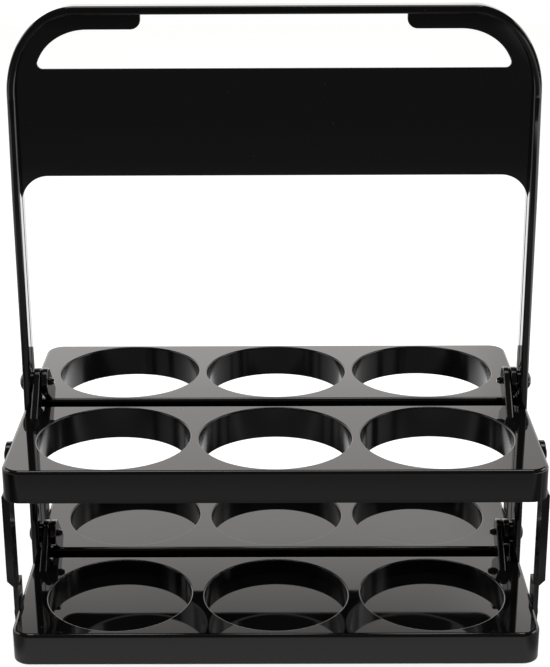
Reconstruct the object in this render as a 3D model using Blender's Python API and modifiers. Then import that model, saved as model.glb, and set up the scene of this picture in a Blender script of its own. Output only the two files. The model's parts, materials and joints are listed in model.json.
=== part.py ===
"""Folding carrier for six bottles, moulded in glossy black plastic.

A flat arch with a carrying slot stands in the middle. Two bottle trays
hang on each side of it, one above the other, on snap pins through the
feet of the arch. Two side links tie each upper tray to the one below, so
both swing up together and the carrier folds flat against the arch.

Metres, +Z up, +X to the right, +Y to the back. The floor is at zero.
"""

import math

import bmesh
import bpy
from mathutils import Matrix, Vector

OBJECT_NAME = "folding_bottle_carrier"

# Clearances

RUN_GAP = 0.0003          # between faces that slide or turn on each other
NOTCH_GAP = 0.0005        # between an upright's inner face and the tray notch
STOP_GAP = 0.0004         # between an upright's front face and the notch wall
PIN_PLAY = 0.0003         # radial play of a pin in its hole
WELD = 0.00001            # points closer than this become one
OVERRUN = 0.002           # how far a cutter runs past what it cuts
EMBED = 0.001             # how far joined features sink into each other

# Trays

TRAY_HEIGHT = 0.0200
TRAY_SPLIT = 0.0112       # space between the front and the back tray
TRAY_WALL = 0.0022
TRAY_SKIN = 0.0020
TRAY_CORNER = 0.0110
TRAY_EDGE = 0.0022        # rounding of the top edges
TRAY_FOOT_EDGE = 0.0005   # rounding of the lower edges
UPPER_TRAY_TOP = 0.1260

# Bottle places

BOTTLES_IN_ROW = 3
HOLE_RADIUS = 0.0457
HOLE_BRIDGE = 0.0054      # between two holes of a row
END_MARGIN = 0.0151       # from an end hole to the tray's end
SIDE_MARGIN = 0.0037      # from a hole to the tray's long sides
RECESS_INSET = 0.0014     # how much narrower the closed places are
COLLAR_WALL = 0.0023      # cylinder wall under each hole
LIP = 0.0008              # rounding of a hole's upper edge
RECESS_DEPTH = 0.0092
RECESS_FLOOR = 0.0020     # thickness of a closed place's floor

# Arch with the carrying slot

ARCH_HEIGHT = 0.3750
ARCH_FOOT_RISE = 0.0020   # lowest point of an upright above the floor
RIM_THICKNESS = 0.0050
RIM_TOP_DEPTH = 0.0125    # front to back, along the top
RIM_MIDDLE_DEPTH = 0.0185  # front to back, in the middle of the uprights
RIM_TAPER_DROP = 0.0030   # from the shoulders to where the uprights widen
RIM_TAPER_LENGTH = 0.0600
RIM_FLARE_RISE = 0.0390   # above the upper tray, where they widen again
RIM_FLARE_END = 0.0300    # above the lower tray, where they stop widening
RIM_EDGE = 0.0012
SHOULDER_WIDTH = 0.0420
SHOULDER_HEIGHT = 0.0520
WEB_THICKNESS = 0.0026
WEB_EDGE = 0.0005
PANEL_HEIGHT = 0.0647
PANEL_FILLET = 0.0165
SLOT_HEIGHT = 0.0228
SLOT_END_MARGIN = 0.0121  # from the end curve's widest point to the upright
SLOT_CURVE_WIDTH = 0.0313
SLOT_CURVE_DROP = 0.0040  # from the slot's bottom down to the curve's centre
SLOT_CORNER = 0.0030
TAB_LENGTH = 0.0315       # web tab under the top bar, beside the bare grip
TAB_DEPTH = 0.0142        # from the arch's top to a tab's lower edge
TAB_CORNER = 0.0062

# Hinges on the uprights

PIVOT_RISE = 0.0144       # pivot axis above the tray's top
EAR_RADIUS = 0.0086
EAR_THICKNESS = 0.0043
EAR_FOOT = 0.0275         # reach of an ear's foot from the pivot axis
EAR_SETBACK = 0.0025      # from a tray's inner side to its ears
EAR_EDGE = 0.0007
BOSS_RADIUS = 0.0066
BOSS_HEIGHT = 0.0009

# Snap pins

PIN_RADIUS = 0.0020
PIN_BARB = 0.0006         # how far the barb stands over the shank
PIN_BARB_LENGTH = 0.0023
PIN_TIP_RADIUS = 0.0013
PIN_SLIT = 0.0011
PIN_SLIT_LENGTH = 0.0060
ARCH_PIN_HEAD_RADIUS = 0.0055
ARCH_PIN_HEAD_HEIGHT = 0.0028
LINK_PIN_HEAD_RADIUS = 0.0040
LINK_PIN_HEAD_HEIGHT = 0.0021

# Side links

LINK_OFFSET = 0.0600      # link pivots from the arch pivots, front to back
LINK_DROP = 0.0090        # link pivots below the tray's top
LINK_WIDTH = 0.0160
LINK_TAB = 0.0030         # thickness of the thin ends
LINK_STEP = 0.0019        # inner face of the middle stands this much outward
LINK_MIDDLE = 0.0047      # thickness of the middle
LINK_MIDDLE_START = 0.0208  # from a pivot to the start of the middle
LINK_CHAMFER = 0.0038
LINK_EDGE = 0.0006

# Facets

HOLE_SIDES = 30
PIN_SIDES = 12
CURVE_STEPS = 8
EDGE_STEPS = 2
LIP_STEPS = 2
DOME_STEPS = 3

# Colours

PLASTIC_BLACK = (0.012, 0.012, 0.013, 1.0)
PLASTIC_ROUGHNESS = 0.16

# Places that follow from the sizes

LEFT, RIGHT = -1, 1
FRONT, BACK = -1, 1
LOWER_PIVOT_Z = TRAY_HEIGHT + PIVOT_RISE
UPPER_PIVOT_Z = UPPER_TRAY_TOP + PIVOT_RISE
RECESS_RADIUS = HOLE_RADIUS - RECESS_INSET
BOTTLE_PITCH = 2 * HOLE_RADIUS + HOLE_BRIDGE
TRAY_END = (BOTTLES_IN_ROW - 1) * BOTTLE_PITCH / 2 + HOLE_RADIUS + END_MARGIN
TRAY_DEPTH = 2 * (HOLE_RADIUS + SIDE_MARGIN)
TRAY_INNER_Y = -TRAY_SPLIT / 2
TRAY_OUTER_Y = TRAY_INNER_Y - TRAY_DEPTH
TRAY_MIDDLE_Y = (TRAY_INNER_Y + TRAY_OUTER_Y) / 2
UPRIGHT_INNER = TRAY_END - RIM_THICKNESS
RIM_FOOT_DEPTH = 2 * (PIVOT_RISE - STOP_GAP)
SLIM_ABOVE = ARCH_HEIGHT - SHOULDER_HEIGHT - RIM_TAPER_DROP
TAPER_BOTTOM = SLIM_ABOVE - RIM_TAPER_LENGTH
FLARE_TOP = UPPER_TRAY_TOP + RIM_FLARE_RISE
FLARE_BOTTOM = TRAY_HEIGHT + RIM_FLARE_END
SLOT_END = UPRIGHT_INNER - SLOT_END_MARGIN
SLOT_TOP = ARCH_HEIGHT - TAB_DEPTH
SLOT_BOTTOM = SLOT_TOP - SLOT_HEIGHT
PANEL_BOTTOM = SLOT_BOTTOM - PANEL_HEIGHT
GRIP_END = SLOT_END - SLOT_CURVE_WIDTH - TAB_LENGTH
NOTCH_X = UPRIGHT_INNER - NOTCH_GAP
EARS_OUTER = UPRIGHT_INNER - BOSS_HEIGHT - RUN_GAP
EARS_INNER = EARS_OUTER - 2 * EAR_THICKNESS - RUN_GAP
LINK_LENGTH = UPPER_TRAY_TOP - TRAY_HEIGHT
LINK_INNER = TRAY_END + RUN_GAP
LINK_TAB_OUTER = LINK_INNER + LINK_TAB
LINK_MIDDLE_INNER = LINK_INNER + LINK_STEP
LINK_MIDDLE_OUTER = LINK_MIDDLE_INNER + LINK_MIDDLE


# Helpers

def collection(name, hidden=False):
    """A collection under the scene's root."""
    made = bpy.data.collections.new(name)
    bpy.context.scene.collection.children.link(made)
    made.hide_render = hidden
    return made


def plastic(name):
    """Glossy black moulded plastic."""
    material = bpy.data.materials.new(name)
    material.use_nodes = True
    shader = material.node_tree.nodes["Principled BSDF"]
    shader.inputs["Base Color"].default_value = PLASTIC_BLACK
    shader.inputs["Roughness"].default_value = PLASTIC_ROUGHNESS
    shader.inputs["Metallic"].default_value = 0.0
    return material


def show(name, mesh, parts, material_name):
    """A finished sub-part with its own mesh and material."""
    own = mesh.copy()
    own.name = name
    own.materials.clear()
    own.materials.append(plastic(material_name))
    own.shade_smooth()
    own.set_sharp_from_angle(angle=math.radians(35))
    made = bpy.data.objects.new(name, own)
    parts.objects.link(made)
    return made


def cutter(name, mesh, guides):
    """A guide solid that joins, cuts or trims another."""
    made = bpy.data.objects.new(name, mesh)
    made.display_type = 'WIRE'
    made.hide_render = True
    guides.objects.link(made)
    return made


def primitive_mesh(matrix):
    """Take the active primitive's mesh, placed by the matrix."""
    made = bpy.context.active_object
    mesh = made.data
    mesh.transform(matrix)
    bpy.data.objects.remove(made)
    return mesh


def box_mesh(low, high):
    """A box between two corners."""
    bpy.ops.mesh.primitive_cube_add(size=1)
    low, high = Vector(low), Vector(high)
    span = high - low
    scale = Matrix.Diagonal((span.x, span.y, span.z, 1))
    return primitive_mesh(Matrix.Translation((low + high) / 2) @ scale)


def rod_mesh(radius, start, end, sides=PIN_SIDES):
    """A cylinder between two points."""
    start, end = Vector(start), Vector(end)
    axis = end - start
    bpy.ops.mesh.primitive_cylinder_add(radius=radius, depth=axis.length, vertices=sides)
    turn = Vector((0, 0, 1)).rotation_difference(axis).to_matrix().to_4x4()
    return primitive_mesh(Matrix.Translation((start + end) / 2) @ turn)


def arc(centre, radii, start, end, steps=CURVE_STEPS):
    """Points on an elliptic arc. The angles are in degrees."""
    points = []
    for step in range(steps + 1):
        angle = math.radians(start + (end - start) * step / steps)
        across = centre[0] + radii[0] * math.cos(angle)
        along = centre[1] + radii[1] * math.sin(angle)
        points.append((across, along))
    return points


def mirrored(half):
    """Close an outline with the mirror image of its right half."""
    return half + [(-x, y) for x, y in reversed(half)]


def plate_mesh(outline, low, high, whole_caps=True):
    """A flat outline in X and Y, extruded in Z from low to high."""
    curve = bpy.data.curves.new("outline", 'CURVE')
    curve.dimensions = '2D'
    curve.fill_mode = 'BOTH'
    curve.extrude = (high - low) / 2
    spline = curve.splines.new('POLY')
    spline.points.add(len(outline) - 1)
    for point, (x, y) in zip(spline.points, outline):
        point.co = (x, y, 0, 1)
    spline.use_cyclic_u = True
    made = bpy.data.objects.new("outline", curve)
    bpy.context.scene.collection.objects.link(made)
    depsgraph = bpy.context.evaluated_depsgraph_get()
    mesh = bpy.data.meshes.new_from_object(made.evaluated_get(depsgraph))
    bpy.data.objects.remove(made)
    shape = bmesh.new()
    shape.from_mesh(mesh)
    bmesh.ops.remove_doubles(shape, verts=shape.verts, dist=WELD)
    bmesh.ops.recalc_face_normals(shape, faces=shape.faces)
    if whole_caps:
        flat = math.radians(0.1)
        bmesh.ops.dissolve_limit(shape, angle_limit=flat, verts=shape.verts, edges=shape.edges)
    shape.to_mesh(mesh)
    shape.free()
    mesh.transform(Matrix.Translation((0, 0, (low + high) / 2)))
    return mesh


def side_plate_mesh(outline, low, high):
    """An outline in Y and Z, extruded in X from low to high."""
    mesh = plate_mesh(outline, low, high)
    mesh.transform(Matrix(((0, 0, 1, 0), (1, 0, 0, 0), (0, 1, 0, 0), (0, 0, 0, 1))))
    return mesh


def front_plate_mesh(outline, thickness, whole_caps=True):
    """An outline in X and Z, extruded evenly to both sides in Y."""
    mesh = plate_mesh(outline, -thickness / 2, thickness / 2, whole_caps)
    mesh.transform(Matrix.Rotation(math.radians(90), 4, 'X'))
    return mesh


def round_edges(made, width, share=None):
    """Bevel the outward edges, each by its own share of the width."""
    shape = bmesh.new()
    shape.from_mesh(made.data)
    weight = shape.edges.layers.float.new("bevel_weight_edge")
    for edge in shape.edges:
        if edge.is_convex and edge.calc_face_angle(0) > math.radians(40):
            edge[weight] = 1 if share is None else share(edge)
    shape.to_mesh(made.data)
    shape.free()
    bevel = made.modifiers.new("rounded edges", 'BEVEL')
    bevel.limit_method = 'WEIGHT'
    bevel.width = width
    bevel.segments = EDGE_STEPS
    bevel.use_clamp_overlap = False


def combine(made, tool, operation):
    """A Boolean with the exact solver."""
    boolean = made.modifiers.new(tool.name, 'BOOLEAN')
    boolean.operation = operation
    boolean.solver = 'EXACT'
    boolean.object = tool


def finished_mesh(made):
    """The mesh with all modifiers applied."""
    depsgraph = bpy.context.evaluated_depsgraph_get()
    return bpy.data.meshes.new_from_object(made.evaluated_get(depsgraph))


def turned(name, profile, guides, sides):
    """A profile of radius and height, turned about Z, from the top down."""
    mesh = bpy.data.meshes.new(name)
    points = [(radius, 0, height) for radius, height in profile]
    edges = [(index, index + 1) for index in range(len(points) - 1)]
    mesh.from_pydata(points, edges, [])
    made = cutter(name, mesh, guides)
    screw = made.modifiers.new("turn", 'SCREW')
    screw.steps = sides
    screw.render_steps = sides
    screw.use_merge_vertices = True
    screw.merge_threshold = WELD
    return made


# Bottle trays

def tray_outline(inset, notch_y=None):
    """The plan of a front tray, with or without notches for the uprights."""
    end = TRAY_END - inset
    inner = TRAY_INNER_Y - inset
    outer = TRAY_OUTER_Y + inset
    corner = TRAY_CORNER - inset
    half = arc((end - corner, outer + corner), (corner, corner), -90, 0)
    if notch_y is not None:
        half += [(end, notch_y - inset), (NOTCH_X - inset, notch_y - inset)]
        half.append((NOTCH_X - inset, inner))
    else:
        half.append((end, inner))
    return mirrored(half)


def bottle_centres():
    """Hole centres from left to right."""
    middle = (BOTTLES_IN_ROW - 1) / 2
    return [((place - middle) * BOTTLE_PITCH, TRAY_MIDDLE_Y) for place in range(BOTTLES_IN_ROW)]


def bottle_cutter(name, radius, bottom, guides):
    """A turned cutter whose upper edge flares into the hole's lip."""
    lip = [(radius + LIP - x, -LIP + z) for x, z in arc((0, 0), (LIP, LIP), 90, 0, LIP_STEPS)]
    profile = [(0, OVERRUN), (radius + LIP, OVERRUN)] + lip + [(radius, bottom), (0, bottom)]
    return turned(name, profile, guides, HOLE_SIDES)


def ear_outline():
    """One hinge ear seen from the end, round the pivot axis."""
    base = -PIVOT_RISE - EMBED
    foot = Vector((-EAR_FOOT, base))
    heel = Vector((TRAY_INNER_Y - EAR_SETBACK, base))
    front = math.degrees(math.atan2(foot.y, foot.x)) + 360
    front -= math.degrees(math.acos(EAR_RADIUS / foot.length))
    rear = math.degrees(math.atan2(heel.y, heel.x))
    rear += math.degrees(math.acos(EAR_RADIUS / heel.length))
    head = arc((0, 0), (EAR_RADIUS, EAR_RADIUS), front, rear, CURVE_STEPS + CURVE_STEPS // 2)
    return [tuple(foot)] + head + [tuple(heel)]


def tray_edge_share(edge):
    """The top edges get the whole rounding, the others a small part."""
    lowest = min(vertex.co.z for vertex in edge.verts)
    return 1 if lowest > -PIVOT_RISE - TRAY_HEIGHT / 2 else TRAY_FOOT_EDGE / TRAY_EDGE


def tray_mesh(name, hole_radius, hole_bottom, level, guides, closed=False):
    """A front tray round its pivot axis, for the level of its lower side."""
    top = -PIVOT_RISE
    bottom = top - TRAY_HEIGHT
    notch_y = -rim_depth(level) / 2 - STOP_GAP
    tray = cutter(name + "_body", plate_mesh(tray_outline(0), bottom, top), guides)
    round_edges(tray, TRAY_EDGE, tray_edge_share)
    for side in (LEFT, RIGHT):
        corners = [side * NOTCH_X, side * (TRAY_END + OVERRUN)]
        low = (min(corners), notch_y, bottom - OVERRUN)
        high = (max(corners), OVERRUN, top + OVERRUN)
        notch = cutter(f"{name}_notch_{side + 1}", box_mesh(low, high), guides)
        combine(tray, notch, 'DIFFERENCE')

    hollow_plan = tray_outline(TRAY_WALL, notch_y)
    hollow_top = top - TRAY_SKIN
    hollow = cutter(name + "_hollow", plate_mesh(hollow_plan, bottom - OVERRUN, hollow_top), guides)
    bore = bottle_cutter(name + "_bore", hole_radius, hole_bottom, guides)
    bore_mesh = finished_mesh(bore)
    for place, (x, y) in enumerate(bottle_centres()):
        start, end = (x, y, bottom - 2 * OVERRUN), (x, y, top)
        collar_mesh = rod_mesh(hole_radius + COLLAR_WALL, start, end, HOLE_SIDES)
        collar = cutter(f"{name}_collar_{place}", collar_mesh, guides)
        combine(hollow, collar, 'DIFFERENCE')
    combine(tray, hollow, 'DIFFERENCE')
    for place, (x, y) in enumerate(bottle_centres()):
        hole = cutter(f"{name}_hole_{place}", bore_mesh, guides)
        hole.location = (x, y, top)
        combine(tray, hole, 'DIFFERENCE')
        if closed:
            start, end = (x, y, bottom - OVERRUN), (x, y, top + hole_bottom - RECESS_FLOOR)
            under_mesh = rod_mesh(hole_radius, start, end, HOLE_SIDES)
            combine(tray, cutter(f"{name}_under_{place}", under_mesh, guides), 'DIFFERENCE')

    outer_ear = side_plate_mesh(ear_outline(), -EARS_OUTER, -EARS_OUTER + EAR_THICKNESS)
    inner_ear = side_plate_mesh(ear_outline(), EARS_INNER, EARS_INNER + EAR_THICKNESS)
    for ear_name, mesh in (("outer_ear", outer_ear), ("inner_ear", inner_ear)):
        ear = cutter(f"{name}_{ear_name}", mesh, guides)
        round_edges(ear, EAR_EDGE)
        combine(tray, ear, 'UNION')

    hole_radius = PIN_RADIUS + PIN_PLAY
    reach = TRAY_END + OVERRUN
    pivot = rod_mesh(hole_radius, (-reach, 0, 0), (reach, 0, 0))
    combine(tray, cutter(name + "_pivot_hole", pivot, guides), 'DIFFERENCE')
    link_y, link_z = -LINK_OFFSET, top - LINK_DROP
    for side in (LEFT, RIGHT):
        start = (side * (TRAY_END - TRAY_WALL - OVERRUN), link_y, link_z)
        end = (side * reach, link_y, link_z)
        hole = cutter(f"{name}_link_hole_{side + 1}", rod_mesh(hole_radius, start, end), guides)
        combine(tray, hole, 'DIFFERENCE')
    return finished_mesh(tray)


# Arch

def rim_half(inset, steps=CURVE_STEPS):
    """The right half of the arch's outline, from the foot to the top."""
    side = TRAY_END - inset
    radii = (SHOULDER_WIDTH - inset, SHOULDER_HEIGHT - inset)
    centre = (TRAY_END - SHOULDER_WIDTH, ARCH_HEIGHT - SHOULDER_HEIGHT)
    heights = [ARCH_FOOT_RISE, FLARE_BOTTOM, FLARE_TOP, TAPER_BOTTOM, SLIM_ABOVE]
    return [(side, height) for height in heights] + arc(centre, radii, 0, 90, steps)


def rim_depth(height):
    """Front to back depth of the rim, widening in two steps to the feet."""
    taper = (SLIM_ABOVE - height) / (SLIM_ABOVE - TAPER_BOTTOM)
    flare = (FLARE_TOP - height) / (FLARE_TOP - FLARE_BOTTOM)
    depth = RIM_TOP_DEPTH + (RIM_MIDDLE_DEPTH - RIM_TOP_DEPTH) * min(max(taper, 0), 1)
    return depth + (RIM_FOOT_DEPTH - RIM_MIDDLE_DEPTH) * min(max(flare, 0), 1)


def rim(guides):
    """The outer band of the arch."""
    outer = rim_half(0)
    inner = rim_half(RIM_THICKNESS)
    left_outer = [(-x, z) for x, z in reversed(outer)]
    left_inner = [(-x, z) for x, z in inner]
    outline = outer + left_outer + left_inner + list(reversed(inner))
    mesh = front_plate_mesh(outline, 1, whole_caps=False)
    for vertex in mesh.vertices:
        vertex.co.y *= rim_depth(vertex.co.z)
    made = cutter("arch_rim", mesh, guides)
    round_edges(made, RIM_EDGE)
    return made


def web_outline():
    """The thin wall of panel, slot ends and tabs, open to the bare grip."""
    middle = RIM_THICKNESS / 2
    side = TRAY_END - middle
    tip = PANEL_BOTTOM - PANEL_FILLET
    centre = (UPRIGHT_INNER - PANEL_FILLET, tip)
    fillet = arc(centre, (PANEL_FILLET, PANEL_FILLET), 90, 0)
    shoulder = [(x, z) for x, z in rim_half(middle) if z > SLIM_ABOVE + WELD]
    grip_corner = (GRIP_END, ARCH_HEIGHT - middle)
    return mirrored(fillet + [(side, tip)] + shoulder + [grip_corner] + slot_half())


def slot_half():
    """The right half of the carrying slot, from its top to its bottom."""
    tab_centre = (GRIP_END + TAB_CORNER, SLOT_TOP + TAB_CORNER)
    half = arc(tab_centre, (TAB_CORNER, TAB_CORNER), 180, 270)
    curve_z = SLOT_BOTTOM - SLOT_CURVE_DROP
    rise = SLOT_TOP - curve_z
    lean = 0
    for _ in range(CURVE_STEPS):
        height = SLOT_CURVE_DROP + SLOT_CORNER * (1 + math.sin(lean))
        end = math.asin(height / rise)
        lean = math.atan(SLOT_CURVE_WIDTH / rise * math.tan(end))
    curve_centre = (SLOT_END - SLOT_CURVE_WIDTH, curve_z)
    half += arc(curve_centre, (SLOT_CURVE_WIDTH, rise), 90, math.degrees(end))
    corner = (SLOT_CORNER, SLOT_CORNER)
    centre = (half[-1][0] - SLOT_CORNER * math.cos(lean), SLOT_BOTTOM + SLOT_CORNER)
    return half + arc(centre, corner, math.degrees(lean), -90)[1:]


def arch(parts, guides):
    """The arch: rim, web and panel, hinge bosses and pin holes."""
    made = rim(guides)
    web = cutter("arch_web", front_plate_mesh(web_outline(), WEB_THICKNESS), guides)
    round_edges(web, WEB_EDGE)
    combine(made, web, 'UNION')
    for level, height in (("lower", LOWER_PIVOT_Z), ("upper", UPPER_PIVOT_Z)):
        for side, word in ((LEFT, "left"), (RIGHT, "right")):
            root = (side * (UPRIGHT_INNER + EMBED), 0, height)
            face = (side * (UPRIGHT_INNER - BOSS_HEIGHT), 0, height)
            boss = cutter(f"boss_{level}_{word}", rod_mesh(BOSS_RADIUS, root, face), guides)
            combine(made, boss, 'UNION')
            start = (side * (TRAY_END + OVERRUN), 0, height)
            end = (side * (UPRIGHT_INNER - BOSS_HEIGHT - OVERRUN), 0, height)
            bore = rod_mesh(PIN_RADIUS + PIN_PLAY, start, end)
            hole = cutter(f"arch_hole_{level}_{word}", bore, guides)
            combine(made, hole, 'DIFFERENCE')
    show("arch", finished_mesh(made), parts, "arch plastic")


# Snap pins

def pin_profile(head_radius, head_height, grip):
    """Domed head above zero, then the shank, the barb and the tip."""
    dome = arc((0, 0), (head_radius, head_height), 90, 0, DOME_STEPS)
    barb = PIN_RADIUS + PIN_BARB
    shank = [(PIN_RADIUS, 0), (PIN_RADIUS, -grip)]
    tip = [(barb, -grip), (barb, -grip - PIN_BARB_LENGTH / 4)]
    tip += [(PIN_TIP_RADIUS, -grip - PIN_BARB_LENGTH), (0, -grip - PIN_BARB_LENGTH)]
    return dome + shank + tip


def pin_mesh(name, head_radius, head_height, grip, guides):
    """A turned snap pin along Z, slit at its tip."""
    pin = turned(name, pin_profile(head_radius, head_height, grip), guides, PIN_SIDES)
    tip = -grip - PIN_BARB_LENGTH
    reach = PIN_RADIUS + PIN_BARB + OVERRUN
    low = (-PIN_SLIT / 2, -reach, tip - OVERRUN)
    high = (PIN_SLIT / 2, reach, tip + PIN_SLIT_LENGTH)
    combine(pin, cutter(name + "_slit", box_mesh(low, high), guides), 'DIFFERENCE')
    return finished_mesh(pin)


def place_pin(name, mesh, side, seat, y, z, parts):
    """A pin with the underside of its head at the seat, pointing inward."""
    pin = show(name, mesh, parts, name + " plastic")
    pin.rotation_euler = (0, math.radians(side * 90), 0)
    pin.location = (side * seat, y, z)


def arch_pins(parts, guides):
    """Four pins, each through an upright and two ears."""
    seat = TRAY_END + RUN_GAP
    grip = seat - EARS_INNER + RUN_GAP
    mesh = pin_mesh("arch_pin", ARCH_PIN_HEAD_RADIUS, ARCH_PIN_HEAD_HEIGHT, grip, guides)
    for level, height in (("upper", UPPER_PIVOT_Z), ("lower", LOWER_PIVOT_Z)):
        for side, word in ((LEFT, "left"), (RIGHT, "right")):
            place_pin(f"arch_pin_{level}_{word}", mesh, side, seat, 0, height, parts)


def link_pins(parts, guides):
    """Eight pins, each through a link's thin end and a tray's end wall."""
    seat = LINK_TAB_OUTER + RUN_GAP
    grip = seat - (TRAY_END - TRAY_WALL) + RUN_GAP
    mesh = pin_mesh("link_pin", LINK_PIN_HEAD_RADIUS, LINK_PIN_HEAD_HEIGHT, grip, guides)
    for level, top in (("upper", UPPER_TRAY_TOP), ("lower", TRAY_HEIGHT)):
        for row, row_word in ((FRONT, "front"), (BACK, "back")):
            for side, word in ((LEFT, "left"), (RIGHT, "right")):
                name = f"link_pin_{level}_{row_word}_{word}"
                place_pin(name, mesh, side, seat, row * LINK_OFFSET, top - LINK_DROP, parts)


# Side links

def link_profile():
    """A link seen from the front, round its upper pivot, thin at both ends."""
    top = LINK_WIDTH / 2
    bottom = -LINK_LENGTH - LINK_WIDTH / 2
    start = -LINK_MIDDLE_START
    stop = -LINK_LENGTH + LINK_MIDDLE_START
    return [
        (LINK_INNER, bottom),
        (LINK_TAB_OUTER, bottom),
        (LINK_TAB_OUTER, stop),
        (LINK_MIDDLE_OUTER, stop + LINK_CHAMFER),
        (LINK_MIDDLE_OUTER, start - LINK_CHAMFER),
        (LINK_TAB_OUTER, start),
        (LINK_TAB_OUTER, top),
        (LINK_INNER, top),
        (LINK_INNER, start),
        (LINK_MIDDLE_INNER, start),
        (LINK_MIDDLE_INNER, stop),
        (LINK_INNER, stop),
    ]


def link_side_outline():
    """A link seen from the end, with round ends."""
    radius = (LINK_WIDTH / 2, LINK_WIDTH / 2)
    return arc((0, 0), radius, 0, 180) + arc((0, -LINK_LENGTH), radius, 180, 360)


def on_outer_rim(edge):
    """True for the edges round the face that is seen from outside."""
    first, second = (vertex.co for vertex in edge.verts)
    outside = min(first.x, second.x) > LINK_TAB_OUTER - WELD
    return outside and abs(first.y - second.y) < LINK_WIDTH / 2


def link_mesh(guides):
    """The right-hand link round its upper pivot."""
    profile = front_plate_mesh(link_profile(), LINK_WIDTH + 2 * OVERRUN)
    blank = cutter("link_blank", profile, guides)
    trim = side_plate_mesh(link_side_outline(), LINK_INNER - OVERRUN, LINK_MIDDLE_OUTER + OVERRUN)
    combine(blank, cutter("link_trim", trim, guides), 'INTERSECT')
    link = cutter("link_body", finished_mesh(blank), guides)
    round_edges(link, LINK_EDGE, on_outer_rim)
    for name, height in (("upper", 0), ("lower", -LINK_LENGTH)):
        start = (LINK_INNER - OVERRUN, 0, height)
        end = (LINK_TAB_OUTER + OVERRUN, 0, height)
        hole = rod_mesh(PIN_RADIUS + PIN_PLAY, start, end)
        combine(link, cutter(f"link_hole_{name}", hole, guides), 'DIFFERENCE')
    return finished_mesh(link)


def links(parts, guides):
    """Four links, each from an upper tray down to the tray below."""
    mesh = link_mesh(guides)
    for row, row_word in ((FRONT, "front"), (BACK, "back")):
        for side, word in ((LEFT, "left"), (RIGHT, "right")):
            name = f"link_{row_word}_{word}"
            link = show(name, mesh, parts, name + " plastic")
            link.rotation_euler = (0, 0, 0 if side == RIGHT else math.pi)
            link.location = (0, row * LINK_OFFSET, UPPER_TRAY_TOP - LINK_DROP)


def trays(parts, guides):
    """Two trays with open holes above two with closed places."""
    upper_level = UPPER_TRAY_TOP - TRAY_HEIGHT
    upper = tray_mesh("upper", HOLE_RADIUS, -TRAY_HEIGHT - OVERRUN, upper_level, guides)
    lower = tray_mesh("lower", RECESS_RADIUS, -RECESS_DEPTH, 0, guides, closed=True)
    for level, mesh, height in (("upper", upper, UPPER_PIVOT_Z), ("lower", lower, LOWER_PIVOT_Z)):
        for word, turn in (("front", 0), ("back", math.pi)):
            name = f"tray_{level}_{word}"
            tray = show(name, mesh, parts, name + " plastic")
            tray.location = (0, 0, height)
            tray.rotation_euler = (0, 0, turn)


def main():
    """Clear the scene and build the carrier."""
    for old in list(bpy.data.objects):
        bpy.data.objects.remove(old, do_unlink=True)
    parts = collection(OBJECT_NAME)
    guides = collection("cutters", hidden=True)
    arch(parts, guides)
    arch_pins(parts, guides)
    trays(parts, guides)
    links(parts, guides)
    link_pins(parts, guides)
    print("sub-parts:", len(parts.objects))


main()
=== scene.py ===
# %% [markdown]
# # A folding bottle carrier in glossy black plastic
#
# The real object is moulded from glossy black plastic in 21 separate pieces:
# an arch with a carrying slot, four bottle trays, four side links and twelve
# snap pins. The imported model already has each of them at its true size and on
# its joint, but with coarse facets. Gloss shows every facet, so this lesson
# makes each piece again as a fine, rounded mesh in exactly the same place.

import json
import math

import bmesh
import bpy
from mathutils import Matrix, Vector

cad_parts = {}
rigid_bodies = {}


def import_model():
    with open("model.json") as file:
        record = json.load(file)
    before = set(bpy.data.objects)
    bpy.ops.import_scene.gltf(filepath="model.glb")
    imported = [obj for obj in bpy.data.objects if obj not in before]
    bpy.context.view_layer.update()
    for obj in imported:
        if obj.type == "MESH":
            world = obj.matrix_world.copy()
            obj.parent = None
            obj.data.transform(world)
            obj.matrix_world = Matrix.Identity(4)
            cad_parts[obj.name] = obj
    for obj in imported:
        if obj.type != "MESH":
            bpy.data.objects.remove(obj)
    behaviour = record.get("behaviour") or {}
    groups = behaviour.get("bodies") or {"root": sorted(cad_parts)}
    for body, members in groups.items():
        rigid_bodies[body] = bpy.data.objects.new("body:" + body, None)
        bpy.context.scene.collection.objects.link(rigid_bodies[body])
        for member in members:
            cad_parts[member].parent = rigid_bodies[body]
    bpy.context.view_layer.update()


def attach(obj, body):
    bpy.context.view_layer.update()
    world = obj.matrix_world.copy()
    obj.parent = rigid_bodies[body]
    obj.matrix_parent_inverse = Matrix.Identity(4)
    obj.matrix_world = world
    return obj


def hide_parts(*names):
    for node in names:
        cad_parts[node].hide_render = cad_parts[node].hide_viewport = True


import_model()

# %% [markdown]
# ## Camera
#
# The photograph looks slightly down on the front of the carrier from less than
# a metre away. The focal length is given in pixels of an image 550 wide and
# 667 high, because that is how it was fitted to the picture. A small vertical
# shift keeps the verticals as parallel as they are in the photograph.

# %% Place the camera
IMAGE_WIDTH = 550
IMAGE_HEIGHT = 667
FOCAL_PIXELS = 1567.64
AXIS_PIXEL = (275.0, 317.37)      # where the optical axis meets the image
CAMERA_PLACE = Vector((0.00380, -0.91918, 0.50202))
CAMERA_PITCH = math.radians(19.1615)
CAMERA_YAW = math.radians(-0.2435)
CAMERA_ROLL = math.radians(-0.2528)

ahead = Vector((
    math.sin(CAMERA_YAW) * math.cos(CAMERA_PITCH),
    math.cos(CAMERA_YAW) * math.cos(CAMERA_PITCH),
    -math.sin(CAMERA_PITCH),
))
level = Vector((math.cos(CAMERA_YAW), -math.sin(CAMERA_YAW), 0))
upward = level.cross(ahead)
right = math.cos(CAMERA_ROLL) * level + math.sin(CAMERA_ROLL) * upward
above = right.cross(ahead)

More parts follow.
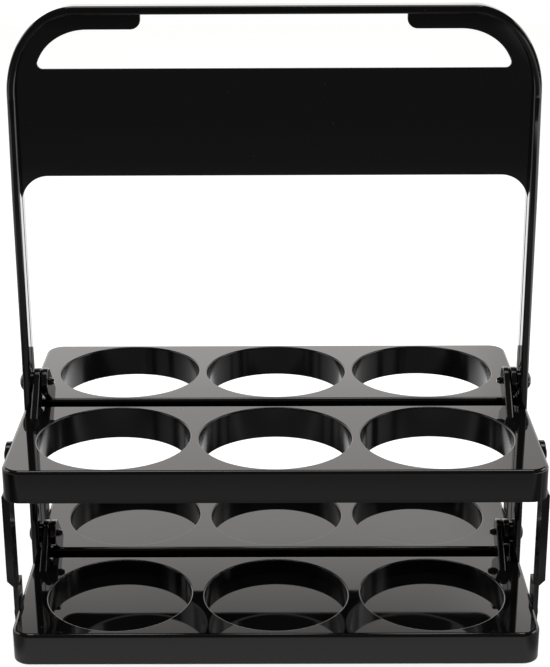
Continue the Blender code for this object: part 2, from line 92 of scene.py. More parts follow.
lens_data = bpy.data.cameras.new("camera")
lens_data.sensor_width = 36
lens_data.lens = FOCAL_PIXELS / IMAGE_HEIGHT * lens_data.sensor_width
lens_data.shift_x = (IMAGE_WIDTH / 2 - AXIS_PIXEL[0]) / IMAGE_HEIGHT
lens_data.shift_y = (AXIS_PIXEL[1] - IMAGE_HEIGHT / 2) / IMAGE_HEIGHT
camera = bpy.data.objects.new("camera", lens_data)
bpy.context.scene.collection.objects.link(camera)
turn = Matrix((right, above, -ahead)).transposed().to_4x4()
camera.matrix_world = Matrix.Translation(CAMERA_PLACE) @ turn
bpy.context.scene.camera = camera
print(f"camera: {lens_data.lens:.1f} mm lens")

# %% [markdown]
# ## Sizes
#
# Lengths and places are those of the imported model, in metres. The roundings
# are given anew for the fine meshes, the uprights get a parting ridge, the
# link pins flatter heads, and all pins longer tips and narrower slits. The
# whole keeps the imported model's outer size.

# %% Small allowances for building
WELD = 0.000001                   # points closer than this become one
HAIR = 0.00001                    # how exactly a face has to lie on a plane
OVERRUN = 0.002                   # how far a cutter runs past what it cuts
EMBED = 0.001                     # how far joined features sink into each other
CLOSE = 0.001                     # edges this near to a level belong to it

# %% Sizes of the trays
TRAY_END = 0.1576
TRAY_INNER = -0.0056              # long side next to the arch
TRAY_OUTER = -0.1044              # long side seen from the front
TRAY_MIDDLE = (TRAY_INNER + TRAY_OUTER) / 2
TRAY_HEIGHT = 0.0200
TRAY_WALL = 0.0022
TRAY_SKIN = 0.0020
TRAY_CORNER = 0.0110
TRAY_EDGE = 0.0022
TRAY_FOOT_EDGE = 0.0004
UPPER_TRAY_TOP = 0.1260
BOTTLE_PITCH = 0.0968
HOLE_PLACES = (-BOTTLE_PITCH, 0, BOTTLE_PITCH)
HOLE_RADIUS = 0.0457
RECESS_RADIUS = 0.0443
RECESS_DEPTH = 0.0092
RECESS_FLOOR = 0.0020
COLLAR_WALL = 0.0023
LIP = 0.0010

# %% Sizes of the arch and the hinges
ARCH_HEIGHT = 0.3750
ARCH_FOOT = 0.0020
RIM_THICKNESS = 0.0050
BAND_DEPTHS = (                   # height above the floor, front to back depth
    (0.3200, 0.0125), (0.2600, 0.0185), (0.1650, 0.0185), (0.0500, 0.0280))
BAND_ROUND_INSIDE = 0.0012
BAND_ROUND_OUTSIDE = 0.0019
PARTING_RIDGE = 0.0002
SHOULDER_WIDTH = 0.0420
SHOULDER_HEIGHT = 0.0520
WEB_THICKNESS = 0.0026
WEB_ROUND = 0.0006
PANEL_BOTTOM = 0.2733
PANEL_FILLET = 0.0165
SLOT_BOTTOM = 0.3380
SLOT_TOP = 0.3608
SLOT_END = 0.1405
SLOT_CURVE_WIDTH = 0.0313
SLOT_CURVE_DROP = 0.0040
SLOT_CORNER = 0.0030
GRIP_END = 0.0777
TAB_CORNER = 0.0062
PIVOT_RISE = 0.0144
UPRIGHT_INNER = TRAY_END - RIM_THICKNESS
NOTCH_X = 0.1521
STOP_GAP = 0.0004                 # from an upright to the notch wall
EAR_RADIUS = 0.0086
EAR_THICKNESS = 0.0043
EAR_FOOT = 0.0275
EAR_HEEL = -0.0081
EARS_OUTER = 0.1514
EARS_INNER = 0.1425
EAR_ROUND = 0.0011
BOSS_RADIUS = 0.0066
BOSS_HEIGHT = 0.0009
PIN_HOLE = 0.0023
ARCH_BORE_END = 0.1480            # how far in the bores of the uprights reach
LINK_HOLE_DEPTH = 0.0040          # of the link pins' holes in a tray's end
LINK_OFFSET = 0.0600
LINK_DROP = 0.0090
LINK_WIDTH = 0.0160
LINK_LENGTH = UPPER_TRAY_TOP - TRAY_HEIGHT
LINK_INNER = 0.1579
LINK_TAB_OUTER = 0.1609

# %% [markdown]
# ## Tools for meshes
#
# Every piece starts as a flat outline that is pushed out to its thickness, or
# as a profile turned round an axis. Straight corners of moulded plastic are
# always a little round, and in gloss that rounding is what draws the bright
# lines along the edges, so the next helpers bevel edges with many segments.

# %% Outlines
def arc(centre, radii, start, end, steps=16):
    """Points on an elliptic arc. The angles are in degrees."""
    points = []
    for step in range(steps + 1):
        angle = math.radians(start + (end - start) * step / steps)
        across = centre[0] + radii[0] * math.cos(angle)
        along = centre[1] + radii[1] * math.sin(angle)
        points.append((across, along))
    return points


def mirrored(half):
    """A closed outline from its right half."""
    return half + [(-x, y) for x, y in reversed(half)]


# %% Plates from outlines
XY, YZ, XZ = "XY", "YZ", "XZ"


def spot(plane, across, along, out):
    """A point of an outline, lifted off its plane."""
    if plane == XY:
        return (across, along, out)
    if plane == YZ:
        return (out, across, along)
    return (across, out, along)


def plate(outline, low, high, plane=XY):
    """A solid plate with the outline's shape, as a bmesh."""
    shape = bmesh.new()
    ends = []
    for out in (low, high):
        ring = [shape.verts.new(spot(plane, x, y, out)) for x, y in outline]
        ends.append(ring)
        shape.faces.new(ring)
    for index in range(len(outline)):
        after = (index + 1) % len(outline)
        shape.faces.new((ends[0][index], ends[0][after], ends[1][after], ends[1][index]))
    bmesh.ops.remove_doubles(shape, verts=shape.verts, dist=WELD)
    bmesh.ops.recalc_face_normals(shape, faces=shape.faces)
    return shape


def block(low, high):
    """A box between two corners, as a bmesh."""
    outline = [(low[0], low[1]), (high[0], low[1]), (high[0], high[1]), (low[0], high[1])]
    return plate(outline, low[2], high[2])


# %% Turned shapes and rods
def turned(profile, sides=128):
    """A profile of radius and height, turned about Z, as a closed bmesh."""
    shape = bmesh.new()
    rings = []
    for radius, height in profile:
        if radius < WELD:
            rings.append([shape.verts.new((0, 0, height))])
            continue
        ring = []
        for side in range(sides):
            angle = 2 * math.pi * side / sides
            x, y = radius * math.cos(angle), radius * math.sin(angle)
            ring.append(shape.verts.new((x, y, height)))
        rings.append(ring)
    for upper, lower in zip(rings, rings[1:]):
        for side in range(sides):
            after = (side + 1) % sides
            corners = [upper[side % len(upper)], lower[side % len(lower)]]
            if len(lower) > 1:
                corners.append(lower[after])
            if len(upper) > 1:
                corners.append(upper[after])
            shape.faces.new(corners)
    bmesh.ops.recalc_face_normals(shape, faces=shape.faces)
    return shape


def rod(radius, start, end, sides=48):
    """A cylinder between two points, as a bmesh."""
    start, end = Vector(start), Vector(end)
    axis = end - start
    half = axis.length / 2
    shape = turned([(0, half), (radius, half), (radius, -half), (0, -half)], sides)
    turn = Vector((0, 0, 1)).rotation_difference(axis).to_matrix().to_4x4()
    shape.transform(Matrix.Translation((start + end) / 2) @ turn)
    return shape


# %% Rounding, joining and cutting
def round_edges(shape, width, segments=4, chosen=None, angle=40):
    """Bevel the outward edges of a bmesh, or those of them that are chosen."""
    edges = []
    for edge in shape.edges:
        sharp = edge.is_convex and edge.calc_face_angle(0) > math.radians(angle)
        if sharp and (chosen is None or chosen(edge)):
            edges.append(edge)
    bmesh.ops.bevel(
        shape, geom=edges, offset=width, offset_type='OFFSET', segments=segments,
        profile=0.5, affect='EDGES', clamp_overlap=False)
    return shape


def as_object(shape, name):
    """A bmesh as an object of its own."""
    mesh = bpy.data.meshes.new(name)
    shape.to_mesh(mesh)
    shape.free()
    made = bpy.data.objects.new(name, mesh)
    bpy.context.scene.collection.objects.link(made)
    return made


def combine(made, operation, shapes):
    """Join the shapes to the object, or cut them out, in one exact Boolean."""
    group = bpy.data.collections.new("tools")
    bpy.context.scene.collection.children.link(group)
    for shape in shapes:
        tool = as_object(shape, "tool")
        bpy.context.scene.collection.objects.unlink(tool)
        group.objects.link(tool)
    boolean = made.modifiers.new("combine", 'BOOLEAN')
    boolean.operation = operation
    boolean.solver = 'EXACT'
    boolean.operand_type = 'COLLECTION'
    boolean.collection = group
    depsgraph = bpy.context.evaluated_depsgraph_get()
    result = bpy.data.meshes.new_from_object(made.evaluated_get(depsgraph))
    made.modifiers.clear()
    made.data = result
    for tool in list(group.objects):
        bpy.data.objects.remove(tool)
    bpy.data.collections.remove(group)


# %% [markdown]
# ## Finishes
#
# All pieces are the same black plastic, polished in the mould. Three things
# keep it from looking like a flat black shape: faint waves where the plastic
# shrank as it cooled, a gloss that changes a little from place to place where
# it was handled, and single specks of dust. One node group makes all three,
# and each material sets its own amounts. Where the plastic was drawn off a
# core of the mould, as in the walls of the holes, the waves are long streaks.

# %% The node group for moulded plastic
def group_input(group, name, kind, value):
    """A named input with its starting value."""
    socket = group.interface.new_socket(name=name, in_out='INPUT', socket_type=kind)
    socket.default_value = value


moulded = bpy.data.node_groups.new("moulded surface", 'ShaderNodeTree')
group_input(moulded, "Colour", 'NodeSocketColor', (0.01, 0.01, 0.01, 1))
group_input(moulded, "Dust Colour", 'NodeSocketColor', (0.2, 0.2, 0.2, 1))
group_input(moulded, "Dust Amount", 'NodeSocketFloat', 0.05)
group_input(moulded, "Gloss Low", 'NodeSocketFloat', 0.05)
group_input(moulded, "Gloss High", 'NodeSocketFloat', 0.12)
group_input(moulded, "Wave Height", 'NodeSocketFloat', 0.1)
group_input(moulded, "Wave Count", 'NodeSocketVector', (14, 14, 14))
moulded.interface.new_socket(
    name="Colour", in_out='OUTPUT', socket_type='NodeSocketColor')
for output in ("Roughness", "Height"):
    moulded.interface.new_socket(
        name=output, in_out='OUTPUT', socket_type='NodeSocketFloat')
inside = moulded.nodes
wire = moulded.links.new
given = inside.new('NodeGroupInput')
result = inside.new('NodeGroupOutput')
place = inside.new('ShaderNodeTexCoord').outputs['Object']

# %% Dust specks
cells = inside.new('ShaderNodeTexVoronoi')
cells.inputs['Scale'].default_value = 400
wire(place, cells.inputs['Vector'])
speck = inside.new('ShaderNodeMapRange')
speck.inputs['From Min'].default_value = 0.16
speck.inputs['From Max'].default_value = 0.06
wire(cells.outputs['Distance'], speck.inputs['Value'])
chance = inside.new('ShaderNodeSeparateColor')
wire(cells.outputs['Color'], chance.inputs['Color'])
rare = inside.new('ShaderNodeMath')
rare.operation = 'LESS_THAN'
wire(chance.outputs['Red'], rare.inputs[0])
wire(given.outputs['Dust Amount'], rare.inputs[1])
dusty = inside.new('ShaderNodeMath')
dusty.operation = 'MULTIPLY'
wire(speck.outputs['Result'], dusty.inputs[0])
wire(rare.outputs['Value'], dusty.inputs[1])
tint = inside.new('ShaderNodeMix')
tint.data_type = 'RGBA'
wire(dusty.outputs['Value'], tint.inputs['Factor'])
wire(given.outputs['Colour'], tint.inputs['A'])
wire(given.outputs['Dust Colour'], tint.inputs['B'])
wire(tint.outputs['Result'], result.inputs['Colour'])

# %% Changing gloss and shrinkage waves
haze = inside.new('ShaderNodeTexNoise')
haze.inputs['Scale'].default_value = 22
haze.inputs['Detail'].default_value = 4
wire(place, haze.inputs['Vector'])
gloss = inside.new('ShaderNodeMapRange')
gloss.inputs['From Min'].default_value = 0.35
gloss.inputs['From Max'].default_value = 0.65
wire(haze.outputs['Fac'], gloss.inputs['Value'])
wire(given.outputs['Gloss Low'], gloss.inputs['To Min'])
wire(given.outputs['Gloss High'], gloss.inputs['To Max'])
rougher = inside.new('ShaderNodeMath')
rougher.operation = 'MAXIMUM'
wire(gloss.outputs['Result'], rougher.inputs[0])
wire(dusty.outputs['Value'], rougher.inputs[1])
wire(rougher.outputs['Value'], result.inputs['Roughness'])
stretch = inside.new('ShaderNodeVectorMath')
stretch.operation = 'MULTIPLY'
wire(place, stretch.inputs[0])
wire(given.outputs['Wave Count'], stretch.inputs[1])
waves = inside.new('ShaderNodeTexNoise')
waves.inputs['Scale'].default_value = 1
waves.inputs['Detail'].default_value = 1
wire(stretch.outputs['Vector'], waves.inputs['Vector'])
lift = inside.new('ShaderNodeMath')
lift.operation = 'MULTIPLY'
wire(waves.outputs['Fac'], lift.inputs[0])
wire(given.outputs['Wave Height'], lift.inputs[1])
wire(lift.outputs['Value'], result.inputs['Height'])
print("node group:", moulded.name)


# %% Materials
BLACK = (0.0070, 0.0068, 0.0070, 1)
DUST = (0.16, 0.16, 0.16, 1)
EVEN_WAVES = (14, 14, 14)         # waves per metre along X, Y and Z
LINK_STREAKS = (150, 150, 4)
CORE_STREAKS = (90, 90, 5)


def plastic(name, dust, gloss_low, gloss_high, wave, wave_count=EVEN_WAVES):
    """Glossy black plastic with its own dust, gloss and waves."""
    material = bpy.data.materials.new(name)
    material.use_nodes = True
    nodes = material.node_tree.nodes
    link = material.node_tree.links.new
    shader = nodes["Principled BSDF"]
    shader.inputs['IOR'].default_value = 1.55
    surface = nodes.new('ShaderNodeGroup')
    surface.node_tree = moulded
    surface.inputs['Colour'].default_value = BLACK
    surface.inputs['Dust Colour'].default_value = DUST
    surface.inputs['Dust Amount'].default_value = dust
    surface.inputs['Gloss Low'].default_value = gloss_low
    surface.inputs['Gloss High'].default_value = gloss_high
    surface.inputs['Wave Height'].default_value = wave
    surface.inputs['Wave Count'].default_value = wave_count
    bump = nodes.new('ShaderNodeBump')
    bump.inputs['Strength'].default_value = 1
    bump.inputs['Distance'].default_value = 0.001
    link(surface.outputs['Colour'], shader.inputs['Base Color'])
    link(surface.outputs['Roughness'], shader.inputs['Roughness'])
    link(surface.outputs['Height'], bump.inputs['Height'])
    link(bump.outputs['Normal'], shader.inputs['Normal'])
    return material


arch_plastic = plastic(
    "arch plastic", dust=0.015, gloss_low=0.02, gloss_high=0.06, wave=0.05)
tray_plastic = plastic(
    "tray plastic", dust=0.010, gloss_low=0.01, gloss_high=0.04, wave=0.07)
link_plastic = plastic(
    "link plastic", dust=0.01, gloss_low=0.14, gloss_high=0.22, wave=0.08,
    wave_count=LINK_STREAKS)
pin_plastic = plastic(
    "pin plastic", dust=0.00, gloss_low=0.03, gloss_high=0.08, wave=0.00)
core_plastic = plastic(
    "plastic drawn off a core", dust=0.00, gloss_low=0.13, gloss_high=0.22,
    wave=0.10, wave_count=CORE_STREAKS)
print("materials: arch, tray, link, pin and core plastic")

# %% [markdown]
# ## Setting a piece in place
#
# A finished piece is shaded smooth, with sharp edges kept where two faces meet
# at a real corner. Weighted normals let the large flat faces stay flat in the
# reflection, although their edges are round. The piece then stands for its
# node of the imported model, takes the finish it is given and moves with that
# node's body.

# %% Finish a piece
SHARP_CORNER = math.radians(38)


def finish_piece(made, name, node, body, material):
    """Shade the piece, and put it in the place of its node."""
    made.name = name
    made.data.name = name
    made.data.materials.clear()
    made.data.materials.append(material)
    made.data.shade_smooth()
    made.data.set_sharp_from_angle(angle=SHARP_CORNER)
    even = made.modifiers.new("flat faces stay flat", 'WEIGHTED_NORMAL')
    even.keep_sharp = True
    even.weight = 80
    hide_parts(node)
    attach(made, body)
    return made


def copy_of(mesh, matrix, name):
    """An object with its own copy of the mesh, placed by the matrix."""
    own = mesh.copy()
    own.transform(matrix)
    made = bpy.data.objects.new(name, own)
    bpy.context.scene.collection.objects.link(made)
    return made


# %% [markdown]
# ## Bottle trays
#
# Each tray is a shallow box, open underneath, with three holes and a collar
# round each of them. It is made round its pivot axis: a plate with round
# edges, then the hollow, the holes and the notches are cut out, and the two
# hinge ears are joined on. The front and the back tray are the same moulding,
# turned half round.

# %% Depth of the arch's uprights, which stand in the notches of the trays
def band_depth(height):
    """Front to back depth of the arch's band at a height."""
    for (high, slim), (low, wide) in zip(BAND_DEPTHS, BAND_DEPTHS[1:]):
        if height > low:
            share = min(max((high - height) / (high - low), 0), 1)
            return slim + (wide - slim) * share
    return BAND_DEPTHS[-1][1]


# %% Tray outlines
def tray_plan(inset, notch_y=None):
    """The plan of a front tray, with or without notches for the uprights."""
    end = TRAY_END - inset
    corner = TRAY_CORNER - inset
    half = arc((end - corner, TRAY_OUTER + inset + corner), (corner, corner), -90, 0)
    if notch_y is not None:
        half += [(end, notch_y - inset), (NOTCH_X - inset, notch_y - inset)]
        half.append((NOTCH_X - inset, TRAY_INNER - inset))
    else:
        half.append((end, TRAY_INNER))
    return mirrored(half)


def ear_plan():
    """One hinge ear seen from the end, round the pivot axis."""
    base = -PIVOT_RISE - EMBED
    foot = Vector((-EAR_FOOT, base))
    heel = Vector((EAR_HEEL, base))
    front = math.degrees(math.atan2(foot.y, foot.x)) + 360
    front -= math.degrees(math.acos(EAR_RADIUS / foot.length))
    rear = math.degrees(math.atan2(heel.y, heel.x))
    rear += math.degrees(math.acos(EAR_RADIUS / heel.length))
    head = arc((0, 0), (EAR_RADIUS, EAR_RADIUS), front, rear, 36)
    return [tuple(foot)] + head + [tuple(heel)]


# %% One tray
CUTTER_HEAD = 0.003               # how far a hole's cutter stands over the tray


def bottle_cutter(radius, bottom, x, z):
    """A turned cutter whose upper edge flares into the hole's lip."""
    lip = [(radius + LIP - a, -LIP + b) for a, b in arc((0, 0), (LIP, LIP), 90, 0, 6)]
    head = [(0, CUTTER_HEAD), (radius + LIP, CUTTER_HEAD)]
    profile = head + lip + [(radius, bottom), (0, bottom)]
    shape = turned(profile)
    shape.transform(Matrix.Translation((x, TRAY_MIDDLE, z)))
    return shape


def tray_mesh(radius, bottom_depth, level, closed=False):
    """A front tray round its pivot axis, for the level of its lower side."""
    top = -PIVOT_RISE
    bottom = top - TRAY_HEIGHT
    notch_y = -band_depth(level) / 2 - STOP_GAP
    body = plate(tray_plan(0), bottom, top)
    round_edges(
        body, TRAY_EDGE, 8,
        lambda edge: min(v.co.z for v in edge.verts) > top - CLOSE)
    round_edges(
        body, TRAY_FOOT_EDGE, 3,
        lambda edge: max(v.co.z for v in edge.verts) < bottom + CLOSE)
    tray = as_object(body, "tray")
    inner_plan = tray_plan(TRAY_WALL, notch_y)
    hollow = as_object(plate(inner_plan, bottom - OVERRUN, top - TRAY_SKIN), "hollow")
    collars = []
    for x in HOLE_PLACES:
        low, high = (x, TRAY_MIDDLE, bottom - 2 * OVERRUN), (x, TRAY_MIDDLE, top)
        collars.append(rod(radius + COLLAR_WALL, low, high, 128))
    combine(hollow, 'DIFFERENCE', collars)
    cuts = [bottle_cutter(radius, bottom_depth, x, top) for x in HOLE_PLACES]
    if closed:
        for x in HOLE_PLACES:
            low = (x, TRAY_MIDDLE, bottom - OVERRUN)
            high = (x, TRAY_MIDDLE, top + bottom_depth - RECESS_FLOOR)
            cuts.append(rod(radius, low, high, 128))
    cuts.append(block(
        (NOTCH_X, notch_y, bottom - OVERRUN),
        (TRAY_END + OVERRUN, OVERRUN, top + OVERRUN)))
    cuts.append(block(
        (-TRAY_END - OVERRUN, notch_y, bottom - OVERRUN),
        (-NOTCH_X, OVERRUN, top + OVERRUN)))
    hollow_shape = bmesh.new()
    hollow_shape.from_mesh(hollow.data)
    bpy.data.objects.remove(hollow)
    combine(tray, 'DIFFERENCE', [hollow_shape])
    combine(tray, 'DIFFERENCE', cuts)
    ears = []
    for start in (-EARS_OUTER, EARS_INNER):
        ear = plate(ear_plan(), start, start + EAR_THICKNESS, YZ)
        ears.append(round_edges(ear, EAR_ROUND, 5))
    combine(tray, 'UNION', ears)
    holes = [rod(PIN_HOLE, (-TRAY_END, 0, 0), (TRAY_END, 0, 0))]
    for side in (-1, 1):
        inner = (side * (TRAY_END - LINK_HOLE_DEPTH), -LINK_OFFSET, top - LINK_DROP)
        outer = (side * (TRAY_END + OVERRUN), -LINK_OFFSET, top - LINK_DROP)
        holes.append(rod(PIN_HOLE, inner, outer))
    combine(tray, 'DIFFERENCE', holes)
    mesh = tray.data
    bpy.data.objects.remove(tray)
    return mesh


# %% The walls of the holes
WALL_REACH = 0.0001               # a face this near to the radius is a wall
WALL_TILT = 0.3                   # and its normal points up or down less than this


def dull_walls(tray, radius):
    """Give the walls of the holes the duller finish of the mould's cores."""
    tray.data.materials.append(core_plastic)
    for face in tray.data.polygons:
        row = math.copysign(TRAY_MIDDLE, face.center.y)
        across = min(abs(face.center.x - x) for x in HOLE_PLACES)
        reach = math.hypot(across, face.center.y - row)
        if reach < radius + WALL_REACH and abs(face.normal.z) < WALL_TILT:
            face.material_index = 1


# %% Four trays
through = -TRAY_HEIGHT - OVERRUN
upper_mesh = tray_mesh(HOLE_RADIUS, through, UPPER_TRAY_TOP - TRAY_HEIGHT)
lower_mesh = tray_mesh(RECESS_RADIUS, -RECESS_DEPTH, 0, closed=True)
levels = (
    ("upper", upper_mesh, UPPER_TRAY_TOP, HOLE_RADIUS),
    ("lower", lower_mesh, TRAY_HEIGHT, RECESS_RADIUS),
)
for level, mesh, top, radius in levels:
    for row, turn in (("front", 0), ("back", math.pi)):
        place = Matrix.Translation((0, 0, top + PIVOT_RISE)) @ Matrix.Rotation(turn, 4, 'Z')
        tray = copy_of(mesh, place, "tray")
        name = f"tray_{level}_{row}"
        finish_piece(tray, name + "_fine", name, f"{level}_{row}", tray_plastic)
        dull_walls(tray, radius)
        print(name, len(tray.data.polygons), "faces")

# %% [markdown]
# ## Arch
#
# The arch is a flat band bent round a thin web. The band grows deeper towards
# its feet. Its cross-section, a rectangle with round corners, is swept along
# the outline station by station, which keeps the highlights along its edges
# unbroken round the shoulders.

# %% The band
def band_stations():
    """Pairs of outer and inner points, from the right foot over to the left."""
    pairs = []
    for height in [ARCH_FOOT] + [height for height, _ in reversed(BAND_DEPTHS)]:
        pairs.append(((TRAY_END, height), (UPRIGHT_INNER, height)))
    centre = (TRAY_END - SHOULDER_WIDTH, ARCH_HEIGHT - SHOULDER_HEIGHT)
    outer = arc(centre, (SHOULDER_WIDTH, SHOULDER_HEIGHT), 0, 90, 40)
    radii = (SHOULDER_WIDTH - RIM_THICKNESS, SHOULDER_HEIGHT - RIM_THICKNESS)
    inner = arc(centre, radii, 0, 90, 40)
    pairs += list(zip(outer, inner))
    left = [((-a[0], a[1]), (-b[0], b[1])) for a, b in reversed(pairs)]
    return pairs + left


def band_section(depth):
    """Ring of (share from inner to outer, y) for one cross-section.

    The two halves of the mould meet in a fine ridge along the inner side.
    """
    half = depth / 2
    ring = []
    for share, y, start in ((1, half, 0), (0, half, 90), (0, -half, 180), (1, -half, 270)):
        size = BAND_ROUND_INSIDE if share == 0 else BAND_ROUND_OUTSIDE
        centre_x = share * RIM_THICKNESS + (size if share == 0 else -size)
        centre_y = y - math.copysign(size, y)
        ring += arc((centre_x, centre_y), (size, size), start, start + 90, 10)
        if share == 0 and y > 0:
            ring += [(0, PARTING_RIDGE), (-PARTING_RIDGE, 0), (0, -PARTING_RIDGE)]
    return [(x / RIM_THICKNESS, y) for x, y in ring]


def band():
    """The swept band, as a bmesh."""
    shape = bmesh.new()
    rings = []
    for outer, inner in band_stations():
        outer, inner = Vector(outer), Vector(inner)
        ring = []
        for share, y in band_section(band_depth(outer.y)):
            spot_on = inner + (outer - inner) * share
            ring.append(shape.verts.new((spot_on.x, y, spot_on.y)))
        rings.append(ring)
    count = len(rings[0])
    for first, second in zip(rings, rings[1:]):
        for index in range(count):
            after = (index + 1) % count
            shape.faces.new((first[index], first[after], second[after], second[index]))
    shape.faces.new(rings[0])
    shape.faces.new(rings[-1])
    bmesh.ops.remove_doubles(shape, verts=shape.verts, dist=WELD)
    bmesh.ops.recalc_face_normals(shape, faces=shape.faces)
    return shape


# %% The web with the panel and the carrying slot
def web_plan():
    """The right half of the web's outline, closed with its mirror image."""
    middle = RIM_THICKNESS / 2
    tip = PANEL_BOTTOM - PANEL_FILLET
    centre = (UPRIGHT_INNER - PANEL_FILLET, tip)
    half = arc(centre, (PANEL_FILLET, PANEL_FILLET), 90, 0, 24)
    half.append((TRAY_END - middle, tip))
    centre = (TRAY_END - SHOULDER_WIDTH, ARCH_HEIGHT - SHOULDER_HEIGHT)
    half += arc(centre, (SHOULDER_WIDTH - middle, SHOULDER_HEIGHT - middle), 0, 90, 24)
    half.append((GRIP_END, ARCH_HEIGHT - middle))
    centre = (GRIP_END + TAB_CORNER, SLOT_TOP + TAB_CORNER)
    half += arc(centre, (TAB_CORNER, TAB_CORNER), 180, 270)
    curve_z = SLOT_BOTTOM - SLOT_CURVE_DROP
    rise = SLOT_TOP - curve_z
    lean = 0
    for _ in range(8):  # each round brings the corner closer to the end curve
        height = SLOT_CURVE_DROP + SLOT_CORNER * (1 + math.sin(lean))
        end = math.asin(height / rise)
        lean = math.atan(SLOT_CURVE_WIDTH / rise * math.tan(end))
    centre = (SLOT_END - SLOT_CURVE_WIDTH, curve_z)
    half += arc(centre, (SLOT_CURVE_WIDTH, rise), 90, math.degrees(end), 24)
    centre = (half[-1][0] - SLOT_CORNER * math.cos(lean), SLOT_BOTTOM + SLOT_CORNER)
    half += arc(centre, (SLOT_CORNER, SLOT_CORNER), math.degrees(lean), -90)[1:]
    return mirrored(half)


# %% Join the arch
arch = as_object(band(), "arch")
web = plate(web_plan(), -WEB_THICKNESS / 2, WEB_THICKNESS / 2, XZ)
additions = [round_edges(web, WEB_ROUND, 4)]
bores = []
for height in (TRAY_HEIGHT + PIVOT_RISE, UPPER_TRAY_TOP + PIVOT_RISE):
    for side in (-1, 1):
        root = (side * (UPRIGHT_INNER + EMBED), 0, height)
        face = (side * (UPRIGHT_INNER - BOSS_HEIGHT), 0, height)
        additions.append(rod(BOSS_RADIUS, root, face, 64))
        outside = (side * (TRAY_END + OVERRUN), 0, height)
        bores.append(rod(PIN_HOLE, outside, (side * ARCH_BORE_END, 0, height)))
combine(arch, 'UNION', additions)
combine(arch, 'DIFFERENCE', bores)
finish_piece(arch, "arch_fine", "arch", "handle", arch_plastic)
print("arch", len(arch.data.polygons), "faces")

# %% [markdown]
# ## Side links
#
# A link is a flat strip with round, thin ends. Its middle is thicker and
# stands outward in one step, so that it clears the tray. It is cut from a
# profile seen from the front and trimmed to its round ends seen from the side.

# %% One link
LINK_MIDDLE_START = 0.0208        # from a pivot to the start of the middle
LINK_MIDDLE_INNER = 0.1598
LINK_MIDDLE_OUTER = 0.1645
LINK_CHAMFER = 0.0038
LINK_ROUND = 0.0007
LINK_BLANK = 0.0100               # half the strip's width before it is trimmed
LINK_TRIM_END = 0.1680            # how far out the trimming shape reaches


def link_profile():
    """A link seen from the front, round its upper pivot."""
    top, bottom = LINK_WIDTH / 2, -LINK_LENGTH - LINK_WIDTH / 2
    start, stop = -LINK_MIDDLE_START, -LINK_LENGTH + LINK_MIDDLE_START
    inner, outer = LINK_MIDDLE_INNER, LINK_MIDDLE_OUTER
    return [
        (LINK_INNER, bottom), (LINK_TAB_OUTER, bottom), (LINK_TAB_OUTER, stop),
        (outer, stop + LINK_CHAMFER), (outer, start - LINK_CHAMFER),
        (LINK_TAB_OUTER, start), (LINK_TAB_OUTER, top), (LINK_INNER, top),
        (LINK_INNER, start), (inner, start), (inner, stop), (LINK_INNER, stop)]


def outer_rim(edge):
    """True for the edges round the face that is seen from outside."""
    first, second = (vertex.co for vertex in edge.verts)
    outside = min(first.x, second.x) > LINK_TAB_OUTER - HAIR
    return outside and abs(first.y - second.y) < LINK_WIDTH / 2


def link_mesh():
    """The right-hand link round its upper pivot."""
    link = as_object(plate(link_profile(), -LINK_BLANK, LINK_BLANK, XZ), "link")
    radius = (LINK_WIDTH / 2, LINK_WIDTH / 2)
    outline = arc((0, 0), radius, 0, 180, 32) + arc((0, -LINK_LENGTH), radius, 180, 360, 32)
    trim = plate(outline, LINK_INNER - OVERRUN, LINK_TRIM_END, YZ)
    combine(link, 'INTERSECT', [trim])
    shape = bmesh.new()
    shape.from_mesh(link.data)
    bpy.data.objects.remove(link)
    link = as_object(round_edges(shape, LINK_ROUND, 4, outer_rim), "link")
    holes = []
    for height in (0, -LINK_LENGTH):
        inside_end = (LINK_INNER - OVERRUN, 0, height)
        outside_end = (LINK_TAB_OUTER + OVERRUN, 0, height)
        holes.append(rod(PIN_HOLE, inside_end, outside_end))
    combine(link, 'DIFFERENCE', holes)
    mesh = link.data
    bpy.data.objects.remove(link)
    return mesh


# %% Four links
mesh = link_mesh()
for row, y in (("front", -LINK_OFFSET), ("back", LINK_OFFSET)):
    pivot = Matrix.Translation((0, y, UPPER_TRAY_TOP - LINK_DROP))
    for side, turn in (("left", math.pi), ("right", 0)):
        place = pivot @ Matrix.Rotation(turn, 4, 'Z')
        link = copy_of(mesh, place, "link")
        name = f"link_{row}_{side}"
        finish_piece(link, name + "_fine", name, f"{row}_{side}_link", link_plastic)
print("links", len(mesh.polygons), "faces each")

# %% [markdown]
# ## Snap pins
#
# A snap pin has a domed head, a plain shank and a barbed tip that is slit, so
# that it can be pushed through and springs open behind the last ear. It is a
# profile turned round its axis, with the slit cut out.

# %% Pins
PIN_SHANK = 0.0020                # radius
PIN_BARB = 0.0025                 # radius
PIN_BARB_EDGE = 0.0002
PIN_TIP = 0.0013                  # radius
PIN_TIP_LENGTH = 0.0031
SLIT_HALF = 0.0004
SLIT_REACH = 0.0050               # further to both sides than any pin is wide
SLIT_LENGTH = 0.0060
ARCH_PIN_HEAD = (0.0055, 0.0028)  # radius and height
ARCH_PIN_GRIP = 0.0157            # from the head to the barb
ARCH_PIN_SEAT = 0.1579
LINK_PIN_HEAD = (0.0040, 0.0011)
LINK_PIN_GRIP = 0.0061
LINK_PIN_SEAT = 0.1612


